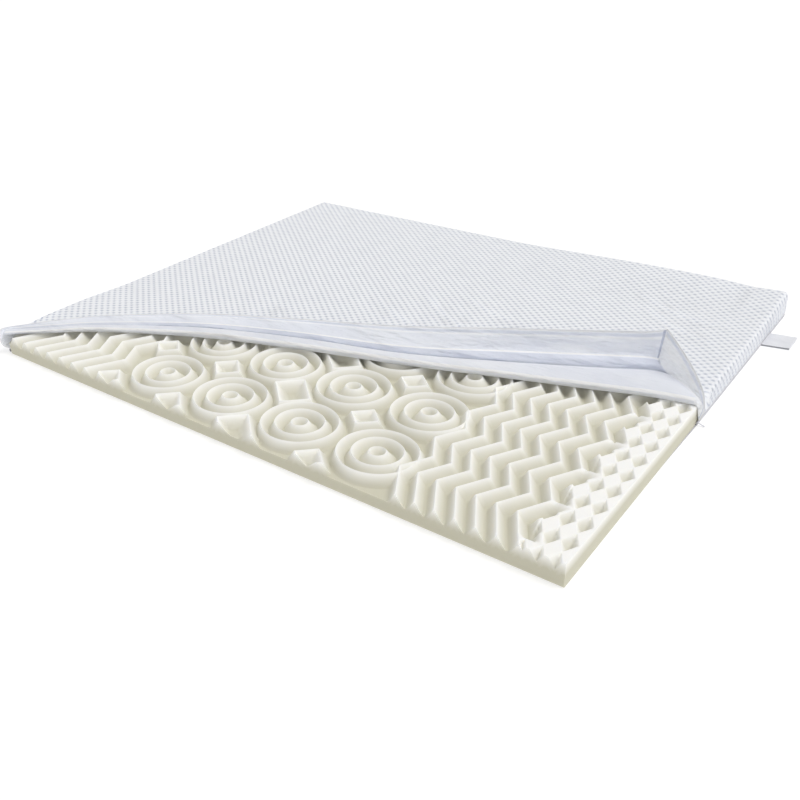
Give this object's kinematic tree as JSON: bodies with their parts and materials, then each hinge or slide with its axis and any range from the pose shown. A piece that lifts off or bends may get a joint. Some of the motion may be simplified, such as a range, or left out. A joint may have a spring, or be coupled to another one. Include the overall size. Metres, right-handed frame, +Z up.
{
  "type": "mattress topper with its zipped cover turned back",
  "caption": "Convoluted foam mattress topper in a white embossed knit cover, whose front corner is unzipped and folded back over the top.",
  "frame": {"origin": "middle of the underside of the cover, on the surface that the topper lies on", "axes": "+X along the front side towards the uncovered front corner, +Y from the uncovered front side to the back, +Z up"},
  "size_m": [2.088, 1.6117, 0.1864],
  "materials": {
    "foam": "matt open-cell foam, ivory",
    "knit": "soft embossed double knit, white, smooth on its inner side",
    "plain_cloth": "smooth tricot, white",
    "elastic": "woven elastic webbing, white",
    "zip": "satin moulded plastic, white"
  },
  "bodies": {
    "root": {"foam_core": "foam", "cover_top": "knit", "cover_base": "plain_cloth", "cover_piping": "plain_cloth", "base_piping": "plain_cloth", "zip_slider": "zip", "zip_pull": "zip", "corner_strap": "elastic"}
  },
  "joints": []
}
